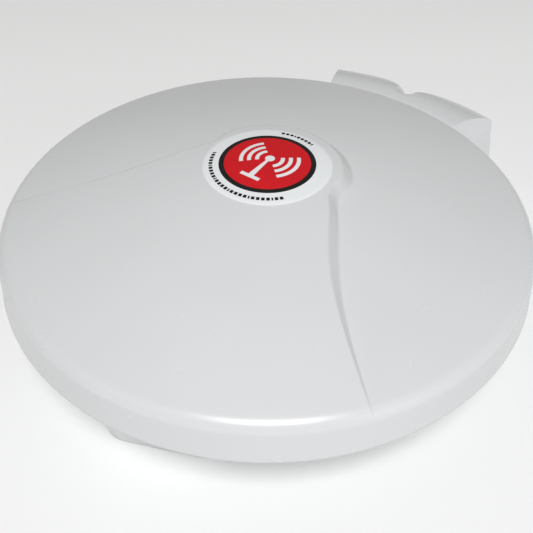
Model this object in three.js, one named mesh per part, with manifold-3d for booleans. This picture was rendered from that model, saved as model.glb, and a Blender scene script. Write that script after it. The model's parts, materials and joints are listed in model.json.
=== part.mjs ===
// Saucer TV antenna: a round radome over a compact Yagi array, with a lower
// housing that ends in a mast mount. Millimetres, +Z up, front towards -Y and
// mast towards +Y. The origin is on the disc's axis, at the underside.
import * as THREE from 'three';
import { mergeVertices } from 'three/addons/utils/BufferGeometryUtils.js';
import Module from 'manifold-3d';

// ---------------------------------------------------------------- dimensions
const RIM_Z = 60;                 // lower edge of the disc
const RIM_R = 190;                // disc radius at the lower edge
const RIM_DRAFT = 4;              // how far the rim wall leans in over its height
const RIM_HEIGHT = 25.6;          // height of the sharp corner that the rim fillet rounds
const RIM_FILLET = 5.9;           // length that the fillet takes from each side of it
const COVER_WALL = 3;
const DOME_RISE = 36.9;           // plateau height over the rim corner, at the centre
const FIELD_RISE = 29.4;          // same for the lower surface around the plateau
const DOME_POWER = 1.7;
const NOSE_TOP_R = 52;            // round nose of the plateau: upper edge and foot
const NOSE_FOOT_R = 59;
const PINCH_ANGLE = 97;           // where the wedge leaves the nose, the outline is pinched in
const PINCH_WIDTH = 12;
const PINCH_TOP = 3.5;
const PINCH_FOOT = 4;
const WEDGE_ANGLE = 52.8;         // half angle of the plateau's wedge at the rim, degrees

const LABEL_R = 44.6;
const LABEL_THICKNESS = 0.4;

const TRAY_R = 185.8;
const TRAY_FLOOR = 3;
const COVER_SCREW_R = 165;
const COVER_SCREW_ANGLES = [-50, -16, 16, 50];   // degrees from the X axis, on both sides

const HOUSING_WALL = 3;
const HOUSING_LOW = 0.5;          // the bottom plate stands this far proud
const HOUSING_TOP = RIM_Z - 0.4;
const FLARE = 0.18;               // outward lean of the housing walls, per mm going down
const PROW_Y = -173;              // tip of the prow at the underside
const PROW_RAKE = 0.13;           // how far the prow reaches forward, per mm going up
const PROW_SLOPE = 0.424;         // the prow's flanks, dy/dx
const HULL_HALF = 66;             // half width of the hull at the underside
const TAIL_SLOPE = 0.313;         // the tail's end faces, dx/dy
const TAIL_HALF = 97.5;           // half width of the tail at TAIL_Y, at the underside
const TAIL_Y = 239;
const TAIL_FLARE = 0.25;          // outward lean of the tail's end faces, per mm going down
const BLOCK_INNER_R = 191.5;      // mount block, measured from the disc's axis
const BLOCK_OUTER_R = 250;
const BLOCK_TOP_Z = 77;
const BLOCK_BACK_Z = 66;          // height of the block's rear edge

const NOTCH_Y = 226;              // root of the mast notch between its two round lobes
const NOTCH_HALF = 48;            // each lobe is a quarter ellipse, this wide
const NOTCH_DEPTH = 19.3;         // and this deep
const NOTCH_ROOT_R = 0.8;
const NOTCH_EDGE_Z = 60;          // from here up the notch widens into a rounded edge
const NOTCH_EDGE_R = 18;

const PORT_Y = 148;               // recessed cable port in the bottom plate
const PORT_HALF = 18;
const PORT_DEPTH = 28;
const PLATE_THICKNESS = 3;
const PLATE_SCREWS = [[50, -112], [52, 0], [52, 112]];
const TRAY_SCREWS = [[40, -80], [40, 90]];
const CABLE_HOLE_Y = 62;
const CABLE_HOLE_R = 5;

const BOOM_HALF = 6;
const BOOM_Z = 79;
const BOOM_SPAN = [-155, 100];
const ROD_R = 3;
const RODS = { reflector_rod: [80, 150], director_rod_1: [-50, 112], director_rod_2: [-100, 107],
  director_rod_3: [-143, 88] };
const DIPOLE_FRONT_Y = -5;
const DIPOLE_BACK_Y = 27;
const DIPOLE_STRAIGHT = 114;
const FEED_GAP = 12;

const CLAMP_Z = 22;               // height of the bolts and the middle of the jaw
const BOLT_X = 52;
const BOLT_R = 4;
const BOLT_END_Y = 290;
const JAW_Y = 249.5;              // near face of the bar when the clamp is closed
const JAW_BAR = 6;
const JAW_HALF = 70;
const JAW_HEIGHT = 28;
const TONGUE_HALF = 14;
const TONGUE_Y = 245.2;
const VEE_DEPTH = 3.6;
const GAP = 0.3;                  // clearance between touching pieces

// ----------------------------------------------------------------- materials
const material = (metalness) => (color, roughness) => new THREE.MeshStandardMaterial(
  { color, roughness, metalness });
const plastic = material(0);
const metal = material(1);
const WHITE_ABS = plastic(0xe2e4e6, 0.25);
const GREY_ABS = plastic(0xc9ccce, 0.4);
const LABEL_FILM = plastic(0xeef0f1, 0.3);
const RUBBER = plastic(0x26282a, 0.8);
const NATURAL_NYLON = plastic(0xd8d4c6, 0.5);
const BLACK_NYLON = plastic(0x2c2e30, 0.5);
const CIRCUIT_BOARD = plastic(0x1d6b3c, 0.4);
const CABLE_JACKET = plastic(0x1b1c1e, 0.5);
const ALUMINIUM = metal(0xc4c7ca, 0.35);
const ZINC_STEEL = metal(0xb4b8bc, 0.3);
const NICKEL_BRASS = metal(0xc8c2b0, 0.25);
const TINPLATE = metal(0xa9adb0, 0.35);

// ------------------------------------------------------------ solid helpers
const wasm = await Module();
wasm.setup();

// Keeps positions only, welds them, drops collapsed faces and faces the mesh outwards.
function weld(geometry) {
  const bare = geometry.index ? geometry.toNonIndexed() : geometry.clone();
  for (const name of Object.keys(bare.attributes)) if (name !== 'position') bare.deleteAttribute(name);
  const merged = mergeVertices(bare, 1e-3);
  const index = merged.index.array;
  const position = merged.attributes.position;
  const corner = [new THREE.Vector3(), new THREE.Vector3(), new THREE.Vector3()];
  const faces = [];
  let volume = 0;
  for (let i = 0; i < index.length; i += 3) {
    const [a, b, c] = [index[i], index[i + 1], index[i + 2]];
    if (a === b || b === c || c === a) continue;
    [a, b, c].forEach((vertex, k) => corner[k].fromBufferAttribute(position, vertex));
    volume += corner[0].dot(corner[1].cross(corner[2]));
    faces.push([a, b, c]);
  }
  merged.setIndex((volume < 0 ? faces.map(([a, b, c]) => [a, c, b]) : faces).flat());
  return merged;
}

function toManifold(geometry) {
  const solid = weld(geometry);
  const mesh = new wasm.Mesh({
    numProp: 3,
    vertProperties: new Float32Array(solid.attributes.position.array),
    triVerts: new Uint32Array(solid.index.array),
  });
  return new wasm.Manifold(mesh);
}

function fromManifold(manifold) {
  const mesh = manifold.getMesh();
  const geometry = new THREE.BufferGeometry();
  geometry.setAttribute('position', new THREE.BufferAttribute(new Float32Array(mesh.vertProperties), 3));
  geometry.setIndex(new THREE.BufferAttribute(new Uint32Array(mesh.triVerts), 1));
  return geometry;
}

const combine = (operation) => (base, ...others) => fromManifold(
  others.reduce((result, other) => result[operation](toManifold(other)), toManifold(base)));
const join = combine('add');
const cut = combine('subtract');
const common = combine('intersect');

// ------------------------------------------------------------ shape helpers
const vector2 = ([x, y]) => new THREE.Vector2(x, y);
const polygon = (points) => new THREE.Shape(points.map(vector2));

function block(x, y, z) {
  const box = new THREE.BoxGeometry(x[1] - x[0], y[1] - y[0], z[1] - z[0]);
  return box.translate((x[0] + x[1]) / 2, (y[0] + y[1]) / 2, (z[0] + z[1]) / 2);
}

function prism(shape, z0, z1, curveSegments = 8) {
  const solid = new THREE.ExtrudeGeometry(shape, { depth: z1 - z0, bevelEnabled: false, curveSegments });
  return solid.translate(0, 0, z0);
}

// Turns [radius, height] points about the Z axis; the profile closes on itself.
function turned(profile, segments = 12) {
  const closed = [...profile, profile[0]].map(vector2);
  return new THREE.LatheGeometry(closed, segments).rotateX(Math.PI / 2);
}

function cylinder(radius, z0, z1, x = 0, y = 0, segments = 12) {
  return turned([[0, z0], [radius, z0], [radius, z1], [0, z1]], segments).translate(x, y, 0);
}

// Skin over rings of points, each ring with as many points as the next.
function loft(rings) {
  const count = rings[0].length;
  const index = [];
  for (let ring = 0; ring < rings.length - 1; ring += 1) {
    for (let i = 0; i < count; i += 1) {
      const j = (i + 1) % count;
      const [a, b] = [ring * count + i, ring * count + j];
      index.push(a, b, b + count, a, b + count, a + count);
    }
  }
  const last = (rings.length - 1) * count;
  const cap = (ring) => THREE.ShapeUtils.triangulateShape(ring.map(vector2), []);
  for (const [a, b, c] of cap(rings[0])) index.push(a, c, b);
  for (const [a, b, c] of cap(rings.at(-1))) index.push(last + a, last + b, last + c);
  const geometry = new THREE.BufferGeometry();
  geometry.setAttribute('position', new THREE.Float32BufferAttribute(rings.flat(2), 3));
  geometry.setIndex(index);
  return geometry;
}

// Round rod or cable along points, with one section at each of them.
function tube(points, radius) {
  const path = new THREE.CatmullRomCurve3(points.map(([x, y, z]) => new THREE.Vector3(x, y, z)));
  path.getPointAt = path.getPoint;
  path.getTangentAt = path.getTangent;
  const section = new THREE.Shape().absarc(0, 0, radius, 0, 2 * Math.PI);
  const options = { steps: points.length - 1, extrudePath: path, bevelEnabled: false, curveSegments: 4 };
  return new THREE.ExtrudeGeometry(section, options);
}

const group = new THREE.Group();

function add(name, geometry, material) {
  const mesh = new THREE.Mesh(weld(geometry), material);
  mesh.geometry.computeVertexNormals();
  mesh.name = name;
  group.add(mesh);
  return mesh;
}

const radians = THREE.MathUtils.degToRad;
const bothSides = [['left', -1], ['right', 1]];

// ---------------------------------------------------------------- top cover
const surfaceRise = (r, rise) => RIM_Z + RIM_HEIGHT + rise * (1 - (r / RIM_R) ** DOME_POWER);
const plateauZ = (r) => surfaceRise(r, DOME_RISE);
const fieldZ = (r) => surfaceRise(r, FIELD_RISE);
// Half angles of the plateau's upper edge and of its riser's foot, from the -Y direction.
const upperEdge = (r) => WEDGE_ANGLE + 26 * Math.exp(-(Math.max(r, 58) - 58) / 24);
const riserFoot = (r) => Math.max(
  WEDGE_ANGLE + 31.5 * Math.exp(-(Math.max(r, 61) - 61) / 30), upperEdge(r) + 0.8);

const FRONT_STEPS = 14;
const BACK_STEPS = 36;

// One ring of the cover: [angle from -Y in degrees, on the plateau or not].
function ringAngles(r) {
  const [edge, foot] = [upperEdge(r), riserFoot(r)];
  const angles = [];
  for (let i = 0; i <= FRONT_STEPS; i += 1) angles.push([-edge + (2 * edge * i) / FRONT_STEPS, true]);
  for (let i = 0; i <= BACK_STEPS; i += 1) {
    angles.push([foot + ((360 - 2 * foot) * i) / BACK_STEPS, false]);
  }
  return angles;
}

function pinch(angle) {
  const fromFront = Math.min(Math.abs(angle), 360 - Math.abs(angle));
  return Math.exp(-(((fromFront - PINCH_ANGLE) / PINCH_WIDTH) ** 2));
}

function coverRing(r, height) {
  const depth = { [NOSE_TOP_R]: PINCH_TOP, [NOSE_FOOT_R]: PINCH_FOOT }[r] ?? 0;
  return ringAngles(r).map(([angle, raised]) => {
    const a = radians(angle - 90);
    const pinched = r - depth * pinch(angle);
    return [pinched * Math.cos(a), pinched * Math.sin(a), height(raised)];
  });
}

const onSurface = (r, drop) => (raised) => (raised || r <= NOSE_TOP_R ? plateauZ(r) : fieldZ(r)) - drop;

// Rings from the centre to the lower edge of the rim, at a depth below the outer skin.
function coverSkin(drop, inset) {
  const radii = [2, 20, 36, NOSE_TOP_R, NOSE_FOOT_R, 74, 90, 108, 128, 148, 166];
  const rings = radii.map((r) => coverRing(r, onSurface(r, drop)));
  const [wallTop, wallFoot] = [RIM_R - RIM_DRAFT - inset, RIM_R - inset];
  const lean = RIM_DRAFT / RIM_HEIGHT;
  const start = wallTop - RIM_FILLET;
  for (let i = 0; i <= 4; i += 1) {
    const t = i / 4;
    const blend = (a, b, c) => a * (1 - t) ** 2 + 2 * b * t * (1 - t) + c * t * t;
    const r = blend(start, wallTop, wallTop + lean * RIM_FILLET);
    rings.push(coverRing(r, (raised) => {
      const surface = (raised ? plateauZ : fieldZ);
      const corner = surface(wallTop) - drop;
      return blend(surface(start) - drop, corner, corner - RIM_FILLET);
    }));
  }
  rings.push(coverRing(wallFoot, () => RIM_Z));
  return rings;
}

function screwPlaces() {
  return bothSides.flatMap(([side, sign]) => COVER_SCREW_ANGLES.map((angle, i) => ({
    name: `${side}_${i + 1}`,
    x: sign * COVER_SCREW_R * Math.cos(radians(angle)),
    y: COVER_SCREW_R * Math.sin(radians(angle)),
    surface: (angle + 90 < WEDGE_ANGLE ? plateauZ : fieldZ)(COVER_SCREW_R),
  })));
}

const TRAY_TOP = RIM_Z + TRAY_FLOOR;

function topCover() {
  const shell = loft([...coverSkin(0, 0), ...coverSkin(COVER_WALL, COVER_WALL + 0.2).reverse()]);
  const bosses = screwPlaces().map(({ x, y, surface }) => cylinder(
    4.5, TRAY_TOP + GAP, surface - COVER_WALL / 2 - 0.5, x, y, 8));
  const bores = screwPlaces().map(({ x, y }) => cylinder(1.8, TRAY_TOP - 1, TRAY_TOP + 16, x, y, 6));
  return cut(join(shell, ...bosses), ...bores);
}
add('top_cover', topCover(), WHITE_ABS);

// -------------------------------------------------------------------- label
function label() {
  const radii = [0, 15, 30, LABEL_R];
  const top = radii.map((r) => [r, plateauZ(r) + GAP + LABEL_THICKNESS]);
  const bottom = radii.map((r) => [r, plateauZ(r) + GAP]).reverse();
  return turned([...top, ...bottom], 40);
}
add('badge_label', label(), LABEL_FILM);

// ---------------------------------------------------------------- base tray
function baseTray() {
  const disc = turned([[0, RIM_Z], [TRAY_R, RIM_Z], [TRAY_R, TRAY_TOP], [181, TRAY_TOP],
    [181, TRAY_TOP + 6],
    [178.5, TRAY_TOP + 6], [178.5, TRAY_TOP], [0, TRAY_TOP]], 72);
  const coverHoles = screwPlaces().map(({ x, y }) => cylinder(2, RIM_Z - 1, TRAY_TOP + 1, x, y, 8));
  const bosses = bothSides.flatMap(([, sign]) => TRAY_SCREWS.map(
    ([x, y]) => cylinder(4, TRAY_TOP - 1, TRAY_TOP + 7, sign * x, y, 10)));
  const bores = bothSides.flatMap(([, sign]) => TRAY_SCREWS.map(
    ([x, y]) => cylinder(1.8, RIM_Z - 1, TRAY_TOP + 5.5, sign * x, y, 8)));
  const cableHole = cylinder(CABLE_HOLE_R, RIM_Z - 1, TRAY_TOP + 1, 0, CABLE_HOLE_Y);
  return cut(join(disc, ...bosses), ...coverHoles, ...bores, cableHole);
}
add('base_tray', baseTray(), GREY_ABS);

function gasket() {
  const [inner, outer] = [182, TRAY_R - 1];
  const [low, high] = [TRAY_TOP + GAP, TRAY_TOP + 3];
  return turned([[inner, low], [outer, low], [outer, high], [inner, high]], 56);
}
add('rim_gasket', gasket(), RUBBER);

// ------------------------------------------------------------ lower housing
// The hull's plan outline at a height, from the prow to beyond the tail, moved in by a wall.
function hullOutline(wall, z) {
  const side = HULL_HALF - wall - FLARE * z;
  const tip = PROW_Y - PROW_RAKE * z + wall * Math.hypot(1, PROW_SLOPE);
  const cornerY = tip + PROW_SLOPE * side;
  const tailHalf = TAIL_HALF - TAIL_FLARE * z - wall * Math.hypot(1, TAIL_SLOPE);
  const neckY = TAIL_Y - (tailHalf - side) / TAIL_SLOPE;
  const beyondY = BLOCK_OUTER_R + 10;
  const right = [
    [7, tip + PROW_SLOPE * 8],
    [side - 14, cornerY - PROW_SLOPE * 14], [side - 4, cornerY + 1], [side, cornerY + 12],
    [side, neckY], [tailHalf + (beyondY - TAIL_Y) * TAIL_SLOPE, beyondY],
  ];
  const left = right.map(([x, y]) => [-x, y]).reverse();
  return [...right, ...left, [-2.5, tip + 1.2], [2.5, tip + 1.2]];
}

function hullPrism(wall, z0, z1) {
  const ring = (z) => hullOutline(wall, z).map(([x, y]) => [x, y, z]);
  return loft([ring(z0), ring(z1)]);
}

// Radial section of the housing: low under the disc, and a rounded ridge behind it.
function housingSection(wall, z0) {
  const outer = BLOCK_OUTER_R - wall;
  const ridge = new THREE.CubicBezierCurve(
    vector2([outer, BLOCK_BACK_Z - wall]), vector2([outer - 8, BLOCK_BACK_Z + 4.5 - wall]),
    vector2([228, BLOCK_TOP_Z + 0.5 - wall]), vector2([205, BLOCK_TOP_Z - wall])).getPoints(6);
  const inner = BLOCK_INNER_R + wall;
  return turned([[0, z0], [outer, z0], ...ridge.map(({ x, y }) => [x, y]), [inner, BLOCK_TOP_Z - wall],
    [inner, HOUSING_TOP - wall], [0, HOUSING_TOP - wall]], 96);
}

// Where the edge of a grown lobe leaves the round root of the notch, as an angle on the lobe.
function lobeStart(reach) {
  let [low, high] = [0, Math.PI / 2];
  for (let i = 0; i < 40; i += 1) {
    const t = (low + high) / 2;
    const c = Math.cos(t);
    const slope = Math.hypot(c / NOTCH_HALF, Math.sin(t) / NOTCH_DEPTH);
    const span = NOTCH_HALF ** 2 * (1 - c) + NOTCH_DEPTH ** 2 * (1 + c);
    [low, high] = span > (2 * reach) / slope ? [low, t] : [t, high];
  }
  return high;
}

// Plan of the mast notch: two round lobes that meet at its root, with the notch grown by some reach.
function notchOutline(grow) {
  const reach = NOTCH_ROOT_R + grow;
  const start = lobeStart(reach);
  const lobe = [];
  for (let i = 0; i <= 9; i += 1) {
    const t = start + ((Math.PI / 2 - start) * i) / 9;
    const normal = vector2([Math.cos(t) / NOTCH_HALF, -Math.sin(t) / NOTCH_DEPTH]).setLength(reach);
    lobe.push([
      NOTCH_HALF * (1 - Math.cos(t)) + normal.x,
      NOTCH_Y + NOTCH_DEPTH * Math.sin(t) + normal.y,
    ]);
  }
  const turn = Math.atan2(lobe[0][0], NOTCH_Y - lobe[0][1]);
  const root = [turn / 3, (2 * turn) / 3].map(
    (a) => [reach * Math.sin(a), NOTCH_Y - reach * Math.cos(a)]);
  const right = [...root, ...lobe];
  const left = right.map(([x, y]) => [-x, y]).reverse();
  const beyond = BLOCK_OUTER_R + 20;
  return [...left, [0, NOTCH_Y - reach], ...right, [NOTCH_HALF, beyond], [-NOTCH_HALF, beyond]];
}

function mastNotch(wall) {
  const widening = (rise) => NOTCH_EDGE_R - Math.sqrt(NOTCH_EDGE_R ** 2 - rise ** 2);
  const ring = (z, grow) => notchOutline(wall + grow).map(([x, y]) => [x, y, z]);
  const edge = [0, 5, 9, 13, 17.5].map((rise) => ring(NOTCH_EDGE_Z + rise, widening(rise)));
  return loft([ring(-20, 0), ...edge]);
}

const plateScrewPlaces = bothSides.flatMap(([side, sign]) => PLATE_SCREWS.map(
  ([x, y], i) => ({ name: `${side}_${i + 1}`, x: sign * x, y })));
const trayScrewPlaces = bothSides.flatMap(([side, sign]) => TRAY_SCREWS.map(
  ([x, y], i) => ({ name: `${side}_${i + 1}`, x: sign * x, y })));
const BOSS_LOW = PLATE_THICKNESS + GAP;

// Cylinder along +Y, used for everything that lies along the clamp bolts.
function alongY(profile, x, z, segments = 12) {
  return turned(profile, segments).rotateX(-Math.PI / 2).translate(x, 0, z);
}

function lowerHousing() {
  const outer = common(hullPrism(0, -5, 85), housingSection(0, HOUSING_LOW));
  const hollow = common(hullPrism(HOUSING_WALL, -6, 85), housingSection(HOUSING_WALL, -6));
  const bosses = plateScrewPlaces.map(({ x, y }) => cylinder(4, BOSS_LOW, HOUSING_TOP - 1, x, y, 10));
  const boltPads = bothSides.map(([, sign]) => alongY(
    [[0, 239], [9, 239], [9, 244], [0, 244]], sign * BOLT_X, CLAMP_Z));
  const shell = join(cut(outer, cut(hollow, mastNotch(HOUSING_WALL))), ...bosses, ...boltPads);
  const boltHoles = bothSides.map(([, sign]) => alongY(
    [[0, 230], [4.4, 230], [4.4, 260], [0, 260]], sign * BOLT_X, CLAMP_Z));
  const bores = plateScrewPlaces.map(({ x, y }) => cylinder(1.8, 0, BOSS_LOW + 12, x, y, 8));
  const roof = [HOUSING_TOP - 5, HOUSING_TOP + 1];
  const trayHoles = trayScrewPlaces.map(({ x, y }) => cylinder(2.1, ...roof, x, y, 8));
  const cableHole = cylinder(CABLE_HOLE_R, ...roof, 0, CABLE_HOLE_Y);
  return cut(shell, mastNotch(0), ...boltHoles, ...bores, ...trayHoles, cableHole);
}
add('lower_housing', lowerHousing(), WHITE_ABS);

// ------------------------------------------------------------- bottom plate
const PORT_ROOF = 2;
const PORT_OUTER = PORT_HALF + 2;
const portBlock = (half, z0, z1) => block([-half, half], [PORT_Y - half, PORT_Y + half], [z0, z1]);

function bottomPlate() {
  const clearance = 0.5;
  const inset = HOUSING_WALL + clearance;
  const outline = prism(polygon(hullOutline(inset, PLATE_THICKNESS)), 0, PLATE_THICKNESS);
  const tail = cylinder(BLOCK_OUTER_R - inset, -1, 10, 0, 0, 96);
  const trimmed = cut(common(outline, tail), mastNotch(inset));
  const cutOut = portBlock(PORT_OUTER + GAP, -1, 10);
  const countersinks = plateScrewPlaces.map(({ x, y }) => turned(
    [[0, -1], [4.6, -1], [4.6, 1.6], [2.1, 1.6], [2.1, 5], [0, 5]], 10).translate(x, y, 0));
  const vent = cylinder(3.4, -1, 5, 0, -90);
  const pins = BOARD_SCREWS.map(([x, y]) => cylinder(3.5, 2, BOARD_Z - GAP, x, y, 10));
  const pinBores = BOARD_SCREWS.map(([x, y]) => cylinder(1.6, BOARD_Z - 10, BOARD_Z, x, y, 8));
  return cut(join(trimmed, ...pins), cutOut, vent, ...countersinks, ...pinBores);
}

// Square cup that stands in the bottom plate and holds the socket, mouth down.
function socketHousing() {
  const flange = portBlock(PORT_OUTER + 4, PLATE_THICKNESS + GAP, PLATE_THICKNESS + GAP + 2);
  const cup = join(portBlock(PORT_OUTER, 0.2, PORT_DEPTH + PORT_ROOF), flange);
  return cut(cup, portBlock(PORT_HALF, -1, PORT_DEPTH), cylinder(5.2, 10, PORT_DEPTH + 10, 0, PORT_Y));
}

// --------------------------------------------------------- amplifier inside
const BOARD_Z = 22;
const BOARD_THICKNESS = 1.6;
const BOARD_SCREWS = [[-32, -52], [32, -52], [-32, 30], [32, 30]];
add('bottom_plate', bottomPlate(), GREY_ABS);
add('socket_housing', socketHousing(), GREY_ABS);

function amplifierBoard() {
  const board = block([-38, 38], [-58, 36], [BOARD_Z, BOARD_Z + BOARD_THICKNESS]);
  const holes = BOARD_SCREWS.map(([x, y]) => cylinder(1.9, BOARD_Z - 1, BOARD_Z + 5, x, y, 8));
  return cut(board, ...holes);
}
add('amplifier_board', amplifierBoard(), CIRCUIT_BOARD);

function shieldCan() {
  const z0 = BOARD_Z + BOARD_THICKNESS + GAP;
  return cut(block([-24, 24], [-44, 20], [z0, z0 + 14]), block([-23, 23], [-43, 19], [z0 - 1, z0 + 13]));
}
add('shield_can', shieldCan(), TINPLATE);

// ------------------------------------------------------------------- screws
// Pan-head screw whose head's bearing face is at z and whose shank points up.
function screwUp(headR, headH, shankR, shankL) {
  return [[0, -headH], [headR * 0.7, -headH], [headR, -headH * 0.45], [headR, 0], [shankR, 0],
    [shankR, shankL - shankR], [0, shankL]];
}

for (const { name, x, y } of screwPlaces()) {
  const screw = turned(screwUp(4, 2.2, 1.5, 17), 8);
  add(`cover_screw_${name}`, screw.translate(x, y, RIM_Z - GAP), ZINC_STEEL);
}
for (const { name, x, y } of plateScrewPlaces) {
  const screw = turned(screwUp(4, 1.5, 1.5, 12), 8);
  add(`plate_screw_${name}`, screw.translate(x, y, 1.6 - GAP / 2), ZINC_STEEL);
}
for (const { name, x, y } of trayScrewPlaces) {
  const seat = HOUSING_TOP - HOUSING_WALL - GAP;
  add(`tray_screw_${name}`, turned(screwUp(4, 2.2, 1.5, 10), 8).translate(x, y, seat), ZINC_STEEL);
}
BOARD_SCREWS.forEach(([x, y], i) => {
  const screw = turned(screwUp(3, 1.8, 1.3, 7), 8).rotateX(Math.PI);
  add(`board_screw_${i + 1}`, screw.translate(x, y, BOARD_Z + BOARD_THICKNESS + GAP), ZINC_STEEL);
});

// --------------------------------------------------------------- Yagi array
function boom() {
  const [y0, y1] = BOOM_SPAN;
  const [low, high] = [BOOM_Z - BOOM_HALF, BOOM_Z + BOOM_HALF];
  const inner = BOOM_HALF - 1.5;
  const bar = block([-BOOM_HALF, BOOM_HALF], [y0, y1], [low, high]);
  const bore = block([-inner, inner], [y0 - 1, y1 + 1], [BOOM_Z - inner, BOOM_Z + inner]);
  const rodHoles = [...Object.values(RODS).map(([y]) => y), DIPOLE_BACK_Y].map(
    (y) => cylinder(ROD_R + GAP, -10, 10, 0, 0, 10).rotateY(Math.PI / 2).translate(0, y, BOOM_Z));
  return cut(bar, bore, ...rodHoles);
}
add('boom', boom(), ALUMINIUM);

for (const [name, [y, half]] of Object.entries(RODS)) {
  const rod = turned([[0, -half], [2, -half], [ROD_R, 1 - half],
    [ROD_R, half - 1], [2, half], [0, half]], 8);
  add(name, rod.rotateY(Math.PI / 2).translate(0, y, BOOM_Z), ALUMINIUM);
}

function dipolePath() {
  const middleY = (DIPOLE_FRONT_Y + DIPOLE_BACK_Y) / 2;
  const bendR = (DIPOLE_BACK_Y - DIPOLE_FRONT_Y) / 2;
  const right = [[FEED_GAP, DIPOLE_FRONT_Y], [60, DIPOLE_FRONT_Y]];
  for (let i = 0; i <= 8; i += 1) {
    const a = radians(-90 + (180 * i) / 8);
    right.push([DIPOLE_STRAIGHT + bendR * Math.cos(a), middleY + bendR * Math.sin(a)]);
  }
  right.push([60, DIPOLE_BACK_Y]);
  const left = right.map(([x, y]) => [-x, y]).reverse();
  return [...right, ...left].map(([x, y]) => [x, y, BOOM_Z]);
}
add('folded_dipole', tube(dipolePath(), ROD_R), ALUMINIUM);

function feedBlock() {
  const y = [DIPOLE_FRONT_Y - 12, DIPOLE_FRONT_Y + 12];
  const body = block([-20, 20], y, [BOOM_Z - 9, BOOM_Z + 9]);
  const slot = BOOM_HALF + GAP;
  const boomSlot = block([-slot, slot], [y[0] - 1, y[1] + 1], [BOOM_Z - 20, BOOM_Z + slot]);
  const sockets = bothSides.map(([, sign]) => {
    const socket = cylinder(ROD_R + GAP, FEED_GAP - 1, 30, 0, 0, 10);
    return socket.rotateY((sign * Math.PI) / 2).translate(0, DIPOLE_FRONT_Y, BOOM_Z);
  });
  return cut(body, boomSlot, ...sockets);
}
add('feed_block', feedBlock(), BLACK_NYLON);
add('balun_board', block([-18, 18], [-17, 8], [67.5, 69.1]), CIRCUIT_BOARD);

function boomSupport(y) {
  const slot = BOOM_HALF + GAP;
  const [low, high] = [TRAY_TOP + GAP, BOOM_Z + 4];
  const right = [[16, low], [16, low + 3], [10, low + 3],
    [10, high], [slot, high], [slot, BOOM_Z - slot]];
  const outline = polygon([...right, ...right.map(([x, y]) => [-x, y]).reverse()]);
  return prism(outline, -7, 7).rotateX(Math.PI / 2).translate(0, y, 0);
}
add('boom_support_front', boomSupport(-122), NATURAL_NYLON);
add('boom_support_rear', boomSupport(91.5), NATURAL_NYLON);

// ------------------------------------------------------------ inner cabling
const COAX_R = 2;
const JUMPER = [[0, 8.4, 68.3], [0, 14, 68.2], [8, 24, 68], [14, 40, 68], [12, 54, 67.6], [5, 60, 66.4],
  [0.6, 62, 62], [0, 62, 55], [0, 58, 46], [0, 48, 37], [0, 41, 29], [0, 38.6, 25]];
const TAIL = [[0, PORT_Y, 38], [0, PORT_Y - 2, 43], [0, PORT_Y - 10, 47], [0, 120, 46], [0, 96, 38],
  [10, 74, 29], [12, 56, 24.5], [12, 40, 23.5]];
add('coax_jumper', tube(JUMPER, COAX_R), CABLE_JACKET);
add('coax_tail', tube(TAIL, COAX_R), CABLE_JACKET);

// ----------------------------------------------------------------- F socket
function socketBody() {
  const body = turned([[2.6, 10], [4.4, 10], [4.8, 10.6],
    [4.8, PORT_DEPTH - 3.3], [7.5, PORT_DEPTH - 3.3],
    [7.5, PORT_DEPTH - GAP], [4.8, PORT_DEPTH - GAP], [4.8, 37], [2.6, 37]], 14);
  return body.translate(0, PORT_Y, 0);
}
add('f_socket_body', socketBody(), NICKEL_BRASS);

function socketNut() {
  const z0 = PORT_DEPTH + PORT_ROOF + GAP;
  return cut(cylinder(7.5, z0, z0 + 3, 0, PORT_Y, 6), cylinder(5.1, z0 - 1, z0 + 4, 0, PORT_Y, 14));
}
add('f_socket_nut', socketNut(), NICKEL_BRASS);
add('f_socket_insulator', turned([[0.7, 12], [2.3, 12], [2.3, 35], [0, 35], [0, 14], [0.7, 14]], 10)
  .translate(0, PORT_Y, 0), NATURAL_NYLON);

const VENT_PROFILE = [[0, 0.8], [2.8, 0.8], [3.1, 1], [3.1, 3.3], [4.4, 3.3], [3, 5.6], [0, 5.6]];
add('vent_plug', turned(VENT_PROFILE, 10).translate(0, -90, 0), RUBBER);

// --------------------------------------------------------------- mast clamp
const JAW_Z = [CLAMP_Z - JAW_HEIGHT / 2, CLAMP_Z + JAW_HEIGHT / 2];
const JAW_BACK = JAW_Y + JAW_BAR;

function clampJaw() {
  const outline = polygon([[-JAW_HALF, JAW_Y], [-TONGUE_HALF, JAW_Y], [-TONGUE_HALF, TONGUE_Y],
    [0, TONGUE_Y + VEE_DEPTH], [TONGUE_HALF, TONGUE_Y], [TONGUE_HALF, JAW_Y], [JAW_HALF, JAW_Y],
    [JAW_HALF, JAW_BACK - 2], [JAW_HALF - 3, JAW_BACK],
    [-JAW_HALF + 3, JAW_BACK], [-JAW_HALF, JAW_BACK - 2]]);
  const holeR = BOLT_R + 0.5;
  const holes = bothSides.map(([, sign]) => alongY(
    [[0, JAW_Y - 5], [holeR, JAW_Y - 5], [holeR, JAW_BACK + 5], [0, JAW_BACK + 5]], sign * BOLT_X, CLAMP_Z));
  const recess = [TONGUE_Y + VEE_DEPTH + 4, JAW_BACK + 1];
  const window = block([-12, 12], recess, [JAW_Z[0] + 4, JAW_Z[1] - 4]);
  return cut(prism(outline, ...JAW_Z), window, ...holes);
}
add('clamp_jaw', clampJaw(), ALUMINIUM);

function jawPad() {
  const thickness = 2;
  const [near, tip] = [TONGUE_Y - GAP, TONGUE_Y + VEE_DEPTH - GAP];
  const half = TONGUE_HALF - 1;
  const edge = near + VEE_DEPTH / TONGUE_HALF;
  const outline = polygon([[-half, edge - thickness], [0, tip - thickness], [half, edge - thickness],
    [half, edge], [0, tip], [-half, edge]]);
  return prism(outline, JAW_Z[0] + 1, JAW_Z[1] - 1);
}
add('jaw_pad', jawPad(), RUBBER);

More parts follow.
